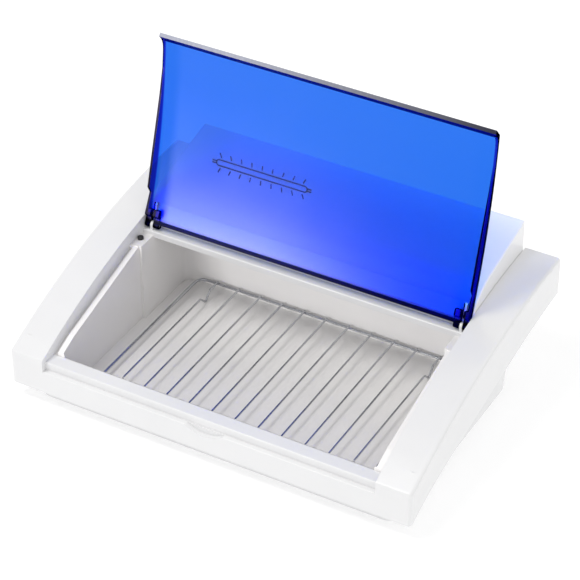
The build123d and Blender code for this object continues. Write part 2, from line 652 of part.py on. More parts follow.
with BuildPart() as rack_wires:
    wire_height = RAIL_HEIGHT + RAIL_RADIUS + WIRE_RADIUS - WELD_DEPTH
    dip_slope = math.atan2(wire_height - TUB_FLOOR, DIP_LENGTH)
    dip_bottom = TUB_FLOOR + WIRE_RADIUS + DIP_CLEARANCE - DIP_BEND * (1 / math.cos(dip_slope) - 1)
    straight = [(RACK_FRONT, wire_height), (RACK_BACK, wire_height)]
    dipped = straight[:1]
    for place in DIP_PLACES:
        dipped += [(place - DIP_LENGTH, wire_height), (place, dip_bottom)]
        dipped += [(place + DIP_LENGTH, wire_height)]
    dipped += straight[1:]
    for index in range(WIRE_COUNT):
        x = (index - (WIRE_COUNT - 1) / 2) * WIRE_PITCH
        with BuildLine(SIDE.offset(x)) as wire_path:
            if index in (0, WIRE_COUNT - 1):
                FilletPolyline(*dipped, radius=DIP_BEND)
            else:
                Line(*straight)
        with BuildSketch(FRONT.offset(-RACK_FRONT)):
            with Locations((x, wire_height)):
                Circle(WIRE_RADIUS)
        sweep(path=wire_path.line)
save(rack_wires, "rack_wires")

# ---------------------------------------------------------------- lamp
with BuildPart() as uv_tube:
    with BuildSketch(SIDE):
        with Locations((LAMP_DISTANCE, LAMP_HEIGHT)):
            Circle(TUBE_RADIUS)
            Circle(TUBE_RADIUS - GLASS_WALL, mode=Mode.SUBTRACT)
    extrude(amount=TUBE_HALF_LENGTH - CAP_LENGTH, both=True)
save(uv_tube, "uv_tube")

for side, name in ((-1, "tube_cap_left"), (1, "tube_cap_right")):
    with BuildPart() as tube_cap:
        with BuildSketch(SIDE.offset(side * (TUBE_HALF_LENGTH - CAP_LENGTH))):
            with Locations((LAMP_DISTANCE, LAMP_HEIGHT)):
                Circle(TUBE_RADIUS)
        extrude(amount=side * CAP_LENGTH)
        fillet(tube_cap.faces().sort_by(Axis.X)[0 if side < 0 else -1].edges(), EDGE_ROUND)
    save(tube_cap, name)

with BuildPart() as tube_pins:
    for side in (-1, 1):
        with BuildSketch(SIDE.offset(side * TUBE_HALF_LENGTH)):
            with Locations((LAMP_DISTANCE, LAMP_HEIGHT)):
                with GridLocations(LAMP_PIN_SPACING, 0, 2, 1):
                    Circle(LAMP_PIN_RADIUS)
        extrude(amount=side * LAMP_PIN_LENGTH)
save(tube_pins, "tube_pins")

for side, name in ((-1, "lamp_holder_left"), (1, "lamp_holder_right")):
    with BuildPart() as lamp_holder:
        holder_top = REFLECTOR_TOP - REFLECTOR_SHEET
        with BuildSketch(SIDE.offset(side * HOLDER_START)) as holder_outline:
            with Locations((LAMP_DISTANCE, (HOLDER_FOOT + holder_top) / 2)):
                Rectangle(HOLDER_WIDTH, holder_top - HOLDER_FOOT)
            fillet(holder_outline.vertices().group_by(Axis.Y)[0], 2 * WALL)
        extrude(amount=side * HOLDER_THICKNESS)
        with BuildSketch(SIDE.offset(side * HOLDER_START)):
            with Locations((LAMP_DISTANCE, LAMP_HEIGHT)):
                with GridLocations(LAMP_PIN_SPACING, 0, 2, 1):
                    Circle(LAMP_PIN_RADIUS + LAMP_PIN_FIT)
        extrude(amount=side * (LAMP_PIN_LENGTH + 1), mode=Mode.SUBTRACT)
    save(lamp_holder, name)

with BuildPart() as reflector:
    with BuildSketch(SIDE.offset(-REFLECTOR_HALF_LENGTH)):
        Polygon(*REFLECTOR_OUTLINE, align=None)
    extrude(amount=2 * REFLECTOR_HALF_LENGTH)
    with Locations(*[(x, FRONT_Y + d, BRIDGE_FOOT) for x, d in REFLECTOR_SCREW_PLACES]):
        Cylinder(SCREW_RADIUS + SCREW_FIT, 4 * TUB_WALL, mode=Mode.SUBTRACT)
save(reflector, "reflector")

# ---------------------------------------------------------------- ballast and starter
with BuildPart() as ballast:
    plate_length, plate_width, plate_height = BALLAST_PLATE
    core_length, core_width, core_height = BALLAST_CORE
    with BuildSketch(PLAN.offset(BALLAST_FOOT_HEIGHT)):
        with Locations((BALLAST_X, BALLAST_DISTANCE)):
            RectangleRounded(plate_length, plate_width, WALL)
            with GridLocations(BALLAST_SCREW_SPACING, 0, 2, 1):
                Circle(SCREW_RADIUS + SCREW_FIT, mode=Mode.SUBTRACT)
    extrude(amount=plate_height)
    with BuildSketch(PLAN.offset(BALLAST_FOOT_HEIGHT + plate_height)):
        with Locations((BALLAST_X, BALLAST_DISTANCE)):
            Rectangle(core_length, core_width)
    extrude(amount=core_height)
    fillet(ballast.faces().sort_by(Axis.Z)[-1].edges(), EDGE_ROUND)
save(ballast, "ballast")

with BuildPart() as starter:
    with BuildSketch(SIDE.offset(STARTER_X - STARTER_LENGTH / 2)):
        with Locations((BALLAST_DISTANCE, STARTER_HEIGHT)):
            Circle(STARTER_RADIUS)
    extrude(amount=STARTER_LENGTH)
    fillet(starter.faces().sort_by(Axis.X)[-1].edges(), 2 * EDGE_ROUND)
save(starter, "starter")

with BuildPart() as starter_socket:
    socket_length, socket_width, socket_height = SOCKET_SIZE
    with BuildSketch(SIDE.offset(STARTER_X - STARTER_LENGTH / 2)) as socket_outline:
        with Locations((BALLAST_DISTANCE, STARTER_HEIGHT - WALL / 2)):
            Rectangle(socket_width, socket_height)
        fillet(socket_outline.vertices().group_by(Axis.Y)[-1], 2 * WALL)
    extrude(amount=-socket_length)
save(starter_socket, "starter_socket")

# ---------------------------------------------------------------- lid interlock
with BuildPart() as interlock_plunger:
    with BuildSketch(PLAN.offset(PLUNGER_TOP)):
        with Locations((INTERLOCK_X, INTERLOCK_DISTANCE)):
            Circle(PLUNGER_RADIUS)
    extrude(amount=-PLUNGER_LENGTH)
    fillet(interlock_plunger.faces().sort_by(Axis.Z)[-1].edges(), SMALL_ROUND)
save(interlock_plunger, "interlock_plunger")

with BuildPart() as interlock_switch:
    with BuildSketch(PLAN.offset(INTERLOCK_TOP)):
        with Locations((INTERLOCK_X, INTERLOCK_DISTANCE)):
            Rectangle(INTERLOCK_SIZE[0], INTERLOCK_SIZE[1])
    extrude(amount=-INTERLOCK_SIZE[2])
    with BuildSketch(PLAN.offset(INTERLOCK_TOP)):
        with Locations((INTERLOCK_X, INTERLOCK_DISTANCE)):
            Circle(PLUNGER_RADIUS + SIDE_CLEARANCE)
    extrude(amount=-(INTERLOCK_SIZE[2] - WALL), mode=Mode.SUBTRACT)
save(interlock_switch, "interlock_switch")

with BuildPart() as interlock_terminals:
    with BuildSketch(PLAN.offset(INTERLOCK_TOP - INTERLOCK_SIZE[2])):
        with Locations((INTERLOCK_X, INTERLOCK_DISTANCE)):
            with GridLocations(0, INTERLOCK_TERMINAL_PITCH, 1, 3):
                Rectangle(*INTERLOCK_TERMINAL)
    extrude(amount=-INTERLOCK_TERMINAL_LENGTH)
save(interlock_terminals, "interlock_terminals")

# ---------------------------------------------------------------- power switch
with BuildPart() as rocker_housing:
    with BuildSketch(REAR):
        with Locations((-SWITCH_X, REAR_PARTS_HEIGHT)):
            RectangleRounded(*SWITCH_FLANGE, SWITCH_FLANGE_ROUND)
    extrude(amount=FLANGE_PLATE)
    fillet(rocker_housing.faces().sort_by(Axis.Y)[-1].edges(), SMALL_ROUND)
    with BuildSketch(REAR):
        with Locations((-SWITCH_X, REAR_PARTS_HEIGHT)):
            Rectangle(*SWITCH_BODY)
    extrude(amount=-SWITCH_BODY_DEPTH)
    with BuildSketch(REAR.offset(FLANGE_PLATE)):
        with Locations((-SWITCH_X, REAR_PARTS_HEIGHT)):
            Rectangle(*ROCKER_POCKET)
    extrude(amount=-ROCKER_POCKET_DEPTH, mode=Mode.SUBTRACT)
    with BuildSketch(ROCKER.offset(-SWITCH_BODY[0] / 2)):
        Circle(TRUNNION_RADIUS + RUNNING_FIT)
    extrude(amount=SWITCH_BODY[0], mode=Mode.SUBTRACT)
save(rocker_housing, "rocker_housing")

with BuildPart() as power_rocker:
    with BuildSketch(ROCKER.offset(-ROCKER_HALF_WIDTH)):
        Polygon(*ROCKER_OUTLINE, align=None)
    extrude(amount=2 * ROCKER_HALF_WIDTH)
    with BuildSketch(ROCKER.offset(-SWITCH_BODY[0] / 2 + SIDE_CLEARANCE)):
        Circle(TRUNNION_RADIUS)
    extrude(amount=SWITCH_BODY[0] - 2 * SIDE_CLEARANCE)
save(power_rocker, "power_rocker")

with BuildPart() as switch_terminals:
    with BuildSketch(REAR.offset(-SWITCH_BODY_DEPTH)):
        with Locations((-SWITCH_X, REAR_PARTS_HEIGHT)):
            with GridLocations(0, SWITCH_TERMINAL_PITCH, 1, 2):
                Rectangle(*SWITCH_TERMINAL)
    extrude(amount=-SWITCH_TERMINAL_LENGTH)
save(switch_terminals, "switch_terminals")

# ---------------------------------------------------------------- mains inlet
with BuildPart() as mains_inlet:
    with BuildSketch(REAR):
        with Locations((-INLET_X, REAR_PARTS_HEIGHT)):
            RectangleRounded(*INLET_FLANGE, INLET_FLANGE_ROUND)
    extrude(amount=FLANGE_PLATE)
    with BuildSketch(REAR):
        with Locations((-INLET_X, REAR_PARTS_HEIGHT)):
            Rectangle(*INLET_BODY)
    extrude(amount=-INLET_DEPTH)
    with BuildSketch(REAR.offset(FLANGE_PLATE)):
        with Locations((-INLET_X, REAR_PARTS_HEIGHT)):
            SlotOverall(*INLET_CAVITY)
    extrude(amount=-(FLANGE_PLATE + INLET_CAVITY_DEPTH), mode=Mode.SUBTRACT)
    with BuildSketch(REAR.offset(-INLET_DEPTH)):
        with Locations((-INLET_X, REAR_PARTS_HEIGHT)):
            with GridLocations(INLET_PIN_SPACING, 0, 2, 1):
                Circle(INLET_PIN_RADIUS)
    extrude(amount=INLET_DEPTH - INLET_CAVITY_DEPTH, mode=Mode.SUBTRACT)
save(mains_inlet, "mains_inlet")

with BuildPart() as inlet_pins:
    with BuildSketch(REAR.offset(-INLET_DEPTH - 2 * WALL)):
        with Locations((-INLET_X, REAR_PARTS_HEIGHT)):
            with GridLocations(INLET_PIN_SPACING, 0, 2, 1):
                Circle(INLET_PIN_RADIUS)
    extrude(amount=INLET_DEPTH + 2 * WALL - INLET_PIN_TIP)
    fillet(inlet_pins.faces().group_by(Axis.Y)[-1].edges(), SMALL_ROUND)
save(inlet_pins, "inlet_pins")

# ---------------------------------------------------------------- screws and feet
with BuildPart() as base_screws:
    for x, distance in BASE_SCREW_PLACES:
        seat = height_at(SKIRT, distance - SCREW_HEAD_RADIUS) + FLANGE_LIFT
        with BuildSketch(PLAN.offset(seat)):
            with Locations((x, distance)):
                Circle(SCREW_HEAD_RADIUS)
        extrude(amount=-SCREW_HEAD_HEIGHT)
        with BuildSketch(PLAN.offset(seat)):
            with Locations((x, distance)):
                Circle(SCREW_RADIUS)
        extrude(amount=SCREW_LENGTH)
        with BuildSketch(PLAN.offset(seat - SCREW_HEAD_HEIGHT)):
            with Locations((x, distance)):
                screw_cross()
        extrude(amount=RECESS_DEPTH, mode=Mode.SUBTRACT)
save(base_screws, "base_screws")

with BuildPart() as rear_screws:
    with BuildSketch(REAR):
        with Locations(*[(x, REAR_SCREW_HEIGHT) for x in REAR_WALL_SCREWS]):
            Circle(SCREW_HEAD_RADIUS)
    extrude(amount=SCREW_HEAD_HEIGHT)
    with BuildSketch(REAR):
        with Locations(*[(x, REAR_SCREW_HEIGHT) for x in REAR_WALL_SCREWS]):
            Circle(SCREW_RADIUS)
    extrude(amount=-SCREW_LENGTH)
    with BuildSketch(REAR.offset(SCREW_HEAD_HEIGHT)):
        with Locations(*[(x, REAR_SCREW_HEIGHT) for x in REAR_WALL_SCREWS]):
            screw_cross()
    extrude(amount=-RECESS_DEPTH, mode=Mode.SUBTRACT)
save(rear_screws, "rear_screws")


def standing_screws(places, seat, length):
    """Screws driven straight down, their heads resting on seat."""
    with BuildPart() as screws:
        with BuildSketch(PLAN.offset(seat)):
            with Locations(*places):
                Circle(SCREW_HEAD_RADIUS)
        extrude(amount=SCREW_HEAD_HEIGHT)
        with BuildSketch(PLAN.offset(seat)):
            with Locations(*places):
                Circle(SCREW_RADIUS)
        extrude(amount=-length)
        with BuildSketch(PLAN.offset(seat + SCREW_HEAD_HEIGHT)):
            with Locations(*places):
                screw_cross()
        extrude(amount=-RECESS_DEPTH, mode=Mode.SUBTRACT)
    return screws


save(
    standing_screws(REFLECTOR_SCREW_PLACES, BRIDGE_FOOT + REFLECTOR_SHEET, 2 * WALL),
    "reflector_screws",
)
save(
    standing_screws(
        [(x, BALLAST_DISTANCE) for x in BALLAST_SCREW_XS],
        BALLAST_FOOT_HEIGHT + BALLAST_PLATE[2],
        2 * WALL,
    ),
    "ballast_screws",
)

for (x, distance), name in zip(
    FOOT_PLACES, ("foot_front_left", "foot_front_right", "foot_rear_left", "foot_rear_right")
):
    with BuildPart() as foot:
        with BuildSketch(PLAN):
            with Locations((x, distance)):
                Circle(FOOT_RADIUS)
        extrude(amount=BASE_BOTTOM)
        fillet(foot.faces().sort_by(Axis.Z)[0].edges(), FOOT_ROUND)
    save(foot, name)
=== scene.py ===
import json
import math

import bmesh
import bpy
from mathutils import Euler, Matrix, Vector
from mathutils.bvhtree import BVHTree


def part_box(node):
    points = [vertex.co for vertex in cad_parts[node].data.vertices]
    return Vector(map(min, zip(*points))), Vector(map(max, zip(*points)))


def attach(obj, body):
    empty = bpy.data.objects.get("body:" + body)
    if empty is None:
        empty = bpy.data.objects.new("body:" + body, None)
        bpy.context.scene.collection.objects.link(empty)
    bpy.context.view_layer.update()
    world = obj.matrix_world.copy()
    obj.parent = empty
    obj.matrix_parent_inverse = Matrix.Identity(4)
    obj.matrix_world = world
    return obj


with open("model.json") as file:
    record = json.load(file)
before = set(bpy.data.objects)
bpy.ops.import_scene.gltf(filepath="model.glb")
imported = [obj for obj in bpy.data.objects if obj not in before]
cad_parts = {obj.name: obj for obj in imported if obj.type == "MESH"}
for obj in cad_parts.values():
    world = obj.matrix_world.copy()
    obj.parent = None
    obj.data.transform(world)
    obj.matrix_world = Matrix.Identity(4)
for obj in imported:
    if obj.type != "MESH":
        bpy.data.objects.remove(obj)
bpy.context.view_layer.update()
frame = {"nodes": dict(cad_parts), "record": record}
NODES = frame["nodes"]
MM = 0.001
WHITE = (1, 1, 1)

# directions on the lid as it stands open at rest
ACROSS = (1, 0, 0)
LID_SWING = math.radians(118)
PANE_NORMAL = (0, math.sin(LID_SWING), math.cos(LID_SWING))
FLANGE_END_NORMAL = (0, -0.808, 0.588)
DOWN_THE_PANE = (0, math.cos(LID_SWING), -math.sin(LID_SWING))
HINGE = next(j for j in frame["record"]["behaviour"]["joints"] if j["name"] == "lid_hinge")["pos_m"]

# how closely a normal has to follow a direction to count as a broad face or as the flange's end
BROAD_ALIGNMENT = (0.55, 0.85)
END_ALIGNMENT = (0.9945, 0.9975)

# zones of the lid, in metres across it from its middle, except the rear band, which is down the pane
SIDE_BAND = (0.1702, 0.1706)
MARGIN = (0.150, 0.159)
REAR_BAND_OFFSET = 4.4 * MM
REAR_BAND_FADE = 0.4 * MM
REAR_BAND = Vector(HINGE).dot(Vector(DOWN_THE_PANE)) - REAR_BAND_OFFSET

# looks of the lid, tuned until they came near the photograph in its one view
PANE_IOR = 1.49
GLOSS_IOR = 1.5
ABSORPTION = (0.15, 0.59, 0.95, 1)
ABSORPTION_DENSITY = 1450.0
SHADOW_COLOUR = (0.85, 0.8, 0.45, 1)
# painted shade: the pane's edges, side band and rear band let darker colours through, for the dark look of
# light paths through the flanges
EDGE_PAINTED_SHADE = (0.3, 0.22, 0.5)
SIDE_BAND_PAINTED_SHADE = (0.5, 0.3, 0.75)
REAR_BAND_PAINTED_SHADE = (0.25, 0.2, 0.42)
MARGIN_SHEEN = (0.2, 0.17, 0.3)
REAR_SHEEN = (0.06, 0.06, 0.12)
GLOSS_ROUGHNESS = (0.22, 0.25)
GLOSS_SHARE = 0.22
# painted reflection: the gloss's share falls to a quarter towards the right
GLOSS_SHARE_RIGHT = 0.25 * GLOSS_SHARE
GLOSS_FADE = (-0.05, 0.14)
SANDED_DARK = (0.17, 0.175, 0.21)
SANDED_LIGHT = (0.21, 0.215, 0.25)
# painted shade on the front flange's sanded end, deepening towards the right
SANDED_RIGHT_SHADE = (0.02, 0.02, 0.03)
SANDED_SHADE_FADE = (-0.1, 0.17)

# looks shared by the plastics and the metals
RAMP_START, RAMP_END = 0.3, 0.7
BEVEL_SAMPLES = 4
EDGE_COSINES = (0.75, 0.985)
PLASTIC_WEAR = 0.3
PLASTIC_WEAR_RADIUS = 0.8 * MM
PLASTIC_ROUNDING = 0.35 * MM
PLASTIC_IOR = 1.5
COAT_ROUGHNESS = 0.12
METAL_WEAR = 0.2
METAL_WEAR_RADIUS = 0.5 * MM
METAL_ROUNDING = 0.2 * MM

# the printed sign: its place as shares of the lid's width and height, and its lines
SIGN_SHARE_X = 0.333
SIGN_SHARE_Z = 0.413
SIGN_HALF_LENGTH = 46 * MM
SIGN_RADIUS = 2.8 * MM
SIGN_ARC_STEPS = 12
SIGN_PIN_LEVEL = 1.1 * MM
SIGN_PIN_LENGTH = 4.5 * MM
RAYS_EACH_WAY = 4
RAY_PITCH = 11.0 * MM
RAY_LEAN = 0.55 * MM
RAY_START = 5.0 * MM
RAY_END = 9.6 * MM
LINE_WIDTH = 1.25 * MM
LINE_STEP = 2.0 * MM
INK_UNDERSIDE = 0.02 * MM
INK_TOP = 0.07 * MM
CAST_DISTANCE = 0.05

# the weld beads on the rack
WIRE_RADIUS = 0.95 * MM
WIRE_COUNT = 11
BEAD_HALF_SIZE = (1.35 * MM, 1.2 * MM, 0.62 * MM)
BEAD_INWARD = 0.4 * MM
BEAD_SUNK = 0.1 * MM

# the studio
FLOOR_HALF = 8.0
FLOOR_DARK = (0.64, 0.64, 0.64)
FLOOR_LIGHT = (0.66, 0.66, 0.66)
FLOOR_ROUGHNESS = 0.6
FLOOR_EMISSION = 0.475
SKY_TOWARDS = Vector((0.75, -0.1, 0.65)).normalized()
SKY_STRENGTH = (0.61, 0.86)
SKY_SPAN = (-0.7, 1.0)
MIDDLE = (0.0, 0.0, 0.06)
CAMERA_LENS = 148.27
CAMERA_SENSOR = 36
CAMERA_PLACE = (0.88195, -1.54949, 1.41553)
CAMERA_TURN = math.radians(29.51)
CAMERA_TILT = math.radians(90 - 36.4)
CAMERA_ROLL = math.radians(-0.14)


# ---------------------------------------------------------------- node helpers
def socket(node, name, value):
    """Links a node's output into a socket, or sets the socket's own value."""
    target = node.inputs[name]
    if isinstance(value, bpy.types.NodeSocket):
        node.id_data.links.new(value, target)
    else:
        target.default_value = value


def make(tree, kind, **inputs):
    """A new node with its sockets set; underscores in a socket's name stand for spaces."""
    node = tree.nodes.new(kind)
    for name, value in inputs.items():
        socket(node, name.replace("_", " "), value)
    return node


def noise(tree, scale, detail=2.0, stretch=(1, 1, 1), roughness=0.5):
    """Noise in object space, in metres, so that it stays on the piece when a body moves."""
    place = tree.nodes.new("ShaderNodeTexCoord").outputs["Object"]
    mapping = make(tree, "ShaderNodeMapping", Vector=place, Scale=stretch)
    pattern = make(tree, "ShaderNodeTexNoise", Vector=mapping.outputs[0], Scale=scale, Detail=detail)
    socket(pattern, "Roughness", roughness)
    return pattern.outputs[0]


def spread(tree, value, low, high, start=RAMP_START, end=RAMP_END):
    """A number from low to high as value goes from start to end."""
    node = make(tree, "ShaderNodeMapRange", Value=value)
    for name, number in (("From Min", start), ("From Max", end), ("To Min", low), ("To Max", high)):
        socket(node, name, number)
    return node.outputs[0]


def ramp(tree, value, first, last, start=RAMP_START, end=RAMP_END):
    """A colour from first to last as value goes from start to end."""
    node = make(tree, "ShaderNodeValToRGB", Fac=value)
    elements = node.color_ramp.elements
    elements[0].position, elements[0].color = start, (*first, 1)
    elements[1].position, elements[1].color = end, (*last, 1)
    return node.outputs[0]


def blend_colour(tree, share, first, second):
    """first where share is 0, second where it is 1."""
    node = tree.nodes.new("ShaderNodeMix")
    node.data_type = "RGBA"
    for name, value in (("Factor", share), ("A", first), ("B", second)):
        target = [s for s in node.inputs if s.name == name and s.enabled][0]
        if isinstance(value, bpy.types.NodeSocket):
            tree.links.new(value, target)
        else:
            target.default_value = (*value, 1)
    return [s for s in node.outputs if s.enabled][0]


def multiplied(tree, first, second):
    """The product of two number sockets."""
    product = tree.nodes.new("ShaderNodeMath")
    product.operation = "MULTIPLY"
    socket(product, 0, first)
    socket(product, 1, second)
    return product.outputs[0]


def along(tree, vector, direction, both_ways=False):
    """How far a vector reaches along a direction, without its sign if both_ways."""
    product = tree.nodes.new("ShaderNodeVectorMath")
    product.operation = "DOT_PRODUCT"
    socket(product, 0, vector)
    socket(product, 1, direction)
    if not both_ways:
        return product.outputs["Value"]
    size = tree.nodes.new("ShaderNodeMath")
    size.operation = "ABSOLUTE"
    socket(size, 0, product.outputs["Value"])
    return size.outputs[0]


def facing_share(tree, direction, low, high, both_ways=False):
    """0 to 1 as the normal, in object space, turns from low to high alignment with a direction."""
    normal = tree.nodes.new("ShaderNodeTexCoord").outputs["Normal"]
    return spread(tree, along(tree, normal, direction, both_ways), 0.0, 1.0, low, high)


def beyond(tree, direction, start, end, both_ways=False):
    """0 to 1 as the place in object space goes from start to end, in metres, along a direction."""
    place = tree.nodes.new("ShaderNodeTexCoord").outputs["Object"]
    return spread(tree, along(tree, place, direction, both_ways), 0.0, 1.0, start, end)


def mix_shaders(tree, share, first, second):
    """first where share is 0, second where it is 1."""
    node = tree.nodes.new("ShaderNodeMixShader")
    socket(node, 0, share)
    socket(node, 1, first.outputs[0])
    socket(node, 2, second.outputs[0])
    return node


def rounded_normal(tree, radius):
    """The normal as it would be if the edges were rounded."""
    bevel = make(tree, "ShaderNodeBevel", Radius=radius)
    bevel.samples = BEVEL_SAMPLES
    return bevel.outputs[0]


def worn_edges(tree, radius, amount):
    """From 0 on flat faces up to amount on edges, from a rounded normal, broken up by noise."""
    flat = tree.nodes.new("ShaderNodeNewGeometry").outputs["Normal"]
    turned = along(tree, rounded_normal(tree, radius), flat)
    edge = spread(tree, turned, amount, 0.0, *EDGE_COSINES)
    patches = spread(tree, noise(tree, scale=60, detail=3), 0.25, 1.0, 0.35, 0.65)
    return multiplied(tree, edge, patches)


def start_material(name):
    """A material with one Principled shader; returns the material, its tree and the shader."""
    material = bpy.data.materials.new(name)
    material.use_nodes = True
    tree = material.node_tree
    return material, tree, tree.nodes["Principled BSDF"]


def bumped(tree, shader, height, distance, rounding=0.0):
    """Bump, on top of slightly rounded edges if a rounding is given."""
    bump = make(tree, "ShaderNodeBump", Height=height, Distance=distance, Strength=1.0)
    if rounding:
        socket(bump, "Normal", rounded_normal(tree, rounding))
    socket(shader, "Normal", bump.outputs[0])


# ---------------------------------------------------------------- materials
def plastic(name, light, dark, rough, grain, worn, coat=0.0):
    """Moulded plastic: faint colour drift, a fine moulded texture, roughness that varies, rubbed edges."""
    material, tree, shader = start_material(name)
    grain_scale, grain_depth = grain
    base = ramp(tree, noise(tree, scale=14, detail=3), dark, light)
    edges = worn_edges(tree, PLASTIC_WEAR_RADIUS, PLASTIC_WEAR)
    socket(shader, "Base Color", blend_colour(tree, edges, base, worn))
    smudges = noise(tree, scale=38, detail=4, stretch=(1, 1.7, 1), roughness=0.6)
    socket(shader, "Roughness", spread(tree, smudges, *rough))
    bumped(tree, shader, noise(tree, grain_scale), grain_depth, PLASTIC_ROUNDING)
    socket(shader, "IOR", PLASTIC_IOR)
    socket(shader, "Coat Weight", coat)
    socket(shader, "Coat Roughness", COAT_ROUGHNESS)
    return material


def metal(name, light, dark, rough, grain, stretch=(1, 1, 1), worn=None, metallic=1.0):
    """Metal, or enamel if metallic is 0; its fine marks run along one direction if stretch is given."""
    material, tree, shader = start_material(name)
    grain_scale, grain_depth = grain
    marks = noise(tree, grain_scale, detail=3, stretch=stretch)
    base = ramp(tree, noise(tree, scale=55, detail=3), dark, light)
    if worn:
        base = blend_colour(tree, worn_edges(tree, METAL_WEAR_RADIUS, METAL_WEAR), base, worn)
    socket(shader, "Base Color", base)
    socket(shader, "Roughness", spread(tree, marks, *rough))
    socket(shader, "Metallic", metallic)
    bumped(tree, shader, marks, grain_depth, METAL_ROUNDING)
    return material


def pane_body(tree, rear_band):
    """What passes through the lid: clear on its two broad faces, painted shade on its edges and bands."""
    broad = facing_share(tree, PANE_NORMAL, *BROAD_ALIGNMENT, both_ways=True)
    side_band = beyond(tree, ACROSS, *SIDE_BAND, both_ways=True)
    clearness_and_shade = ramp(tree, broad, EDGE_PAINTED_SHADE, WHITE, start=0.0, end=1.0)
    clearness_and_shade = blend_colour(tree, side_band, clearness_and_shade, SIDE_BAND_PAINTED_SHADE)
    clearness_and_shade = blend_colour(tree, rear_band, clearness_and_shade, REAR_BAND_PAINTED_SHADE)
    return make(tree, "ShaderNodeBsdfRefraction", Color=clearness_and_shade, Roughness=0.0, IOR=PANE_IOR)


def pane_gloss(tree, rear_band):
    """The lid's soft reflection, darkened in its side margins and on its rear band."""
    margin = beyond(tree, ACROSS, *MARGIN, both_ways=True)
    sheen = blend_colour(tree, margin, WHITE, MARGIN_SHEEN)
    gloss = make(tree, "ShaderNodeBsdfGlossy", Color=blend_colour(tree, rear_band, sheen, REAR_SHEEN))
    socket(gloss, "Roughness", spread(tree, noise(tree, scale=26, detail=3), *GLOSS_ROUGHNESS))
    waves = noise(tree, scale=9, detail=3, stretch=(1, 1, 2))
    ripple = make(tree, "ShaderNodeBump", Height=waves, Distance=0.02 * MM)
    socket(gloss, "Normal", ripple.outputs[0])
    return gloss


def sanded_end(tree):
    """The sanded end of the front flange, with painted shade darkening it towards the right."""
    dust = ramp(tree, noise(tree, scale=400, detail=3), SANDED_DARK, SANDED_LIGHT)
    dust_and_shade = blend_colour(tree, beyond(tree, ACROSS, *SANDED_SHADE_FADE), dust, SANDED_RIGHT_SHADE)
    return make(tree, "ShaderNodeBsdfDiffuse", Color=dust_and_shade)


def tinted_pane():
    """Blue acrylic that tints by the length of the path through it, with a soft gloss.

    Shadow rays get a colour of their own, not from the absorption, and the gloss fades from left to
    right, a painted dimming of the reflection. Both were chosen to suit the photograph's one view.
    """
    material = bpy.data.materials.new("blue_acrylic")
    material.use_nodes = True
    tree = material.node_tree
    tree.nodes.remove(tree.nodes["Principled BSDF"])
    output = tree.nodes["Material Output"]
    rear_band = beyond(tree, DOWN_THE_PANE, REAR_BAND - REAR_BAND_FADE, REAR_BAND + REAR_BAND_FADE)
    mirror = make(tree, "ShaderNodeFresnel", IOR=GLOSS_IOR).outputs[0]
    # painted reflection: the gloss's share fades from left to right, dimming the reflection towards the
    # right
    reflection_fade = spread(tree, beyond(tree, ACROSS, *GLOSS_FADE), GLOSS_SHARE, GLOSS_SHARE_RIGHT, 0.0, 1.0)
    shine = multiplied(tree, mirror, reflection_fade)
    pane = mix_shaders(tree, shine, pane_body(tree, rear_band), pane_gloss(tree, rear_band))
    flange_end = facing_share(tree, FLANGE_END_NORMAL, *END_ALIGNMENT)
    surface = mix_shaders(tree, flange_end, pane, sanded_end(tree))
    shadow_ray = tree.nodes.new("ShaderNodeLightPath").outputs["Is Shadow Ray"]
    passing = make(tree, "ShaderNodeBsdfTransparent", Color=SHADOW_COLOUR)
    socket(output, "Surface", mix_shaders(tree, shadow_ray, surface, passing).outputs[0])
    absorb = make(tree, "ShaderNodeVolumeAbsorption", Color=ABSORPTION, Density=ABSORPTION_DENSITY)
    socket(output, "Volume", absorb.outputs[0])
    return material


def lamp_glass():
    """Clear tube glass with a faint haze."""
    material, tree, shader = start_material("lamp_glass")
    socket(shader, "Base Color", (0.96, 0.98, 1.0, 1))
    socket(shader, "Transmission Weight", 0.9)
    socket(shader, "IOR", 1.46)
    socket(shader, "Roughness", spread(tree, noise(tree, scale=45, detail=3), 0.02, 0.12))
    bumped(tree, shader, noise(tree, scale=120), 0.02 * MM)
    return material


# grain is the scale of the surface's texture and its depth
HOUSING = plastic(
    "white_abs", light=(0.86, 0.86, 0.865), dark=(0.83, 0.83, 0.838), rough=(0.17, 0.27),
    grain=(2600, 0.012 * MM), worn=(0.93, 0.93, 0.93), coat=0.25)
TUB = plastic(
    "white_tub", light=(0.83, 0.815, 0.805), dark=(0.79, 0.775, 0.77), rough=(0.3, 0.42),
    grain=(2200, 0.02 * MM), worn=(0.9, 0.89, 0.88))
BLACK = plastic(
    "black_nylon", light=(0.022, 0.022, 0.024), dark=(0.014, 0.014, 0.016), rough=(0.35, 0.5),
    grain=(3000, 0.02 * MM), worn=(0.08, 0.08, 0.085))
RUBBER = plastic(
    "grey_rubber", light=(0.07, 0.07, 0.075), dark=(0.045, 0.045, 0.05), rough=(0.7, 0.9),
    grain=(1800, 0.05 * MM), worn=(0.13, 0.13, 0.13))
HOLDER = plastic(
    "cream_thermoplastic", light=(0.8, 0.79, 0.75), dark=(0.75, 0.74, 0.7), rough=(0.35, 0.5),
    grain=(2400, 0.02 * MM), worn=(0.88, 0.87, 0.83))
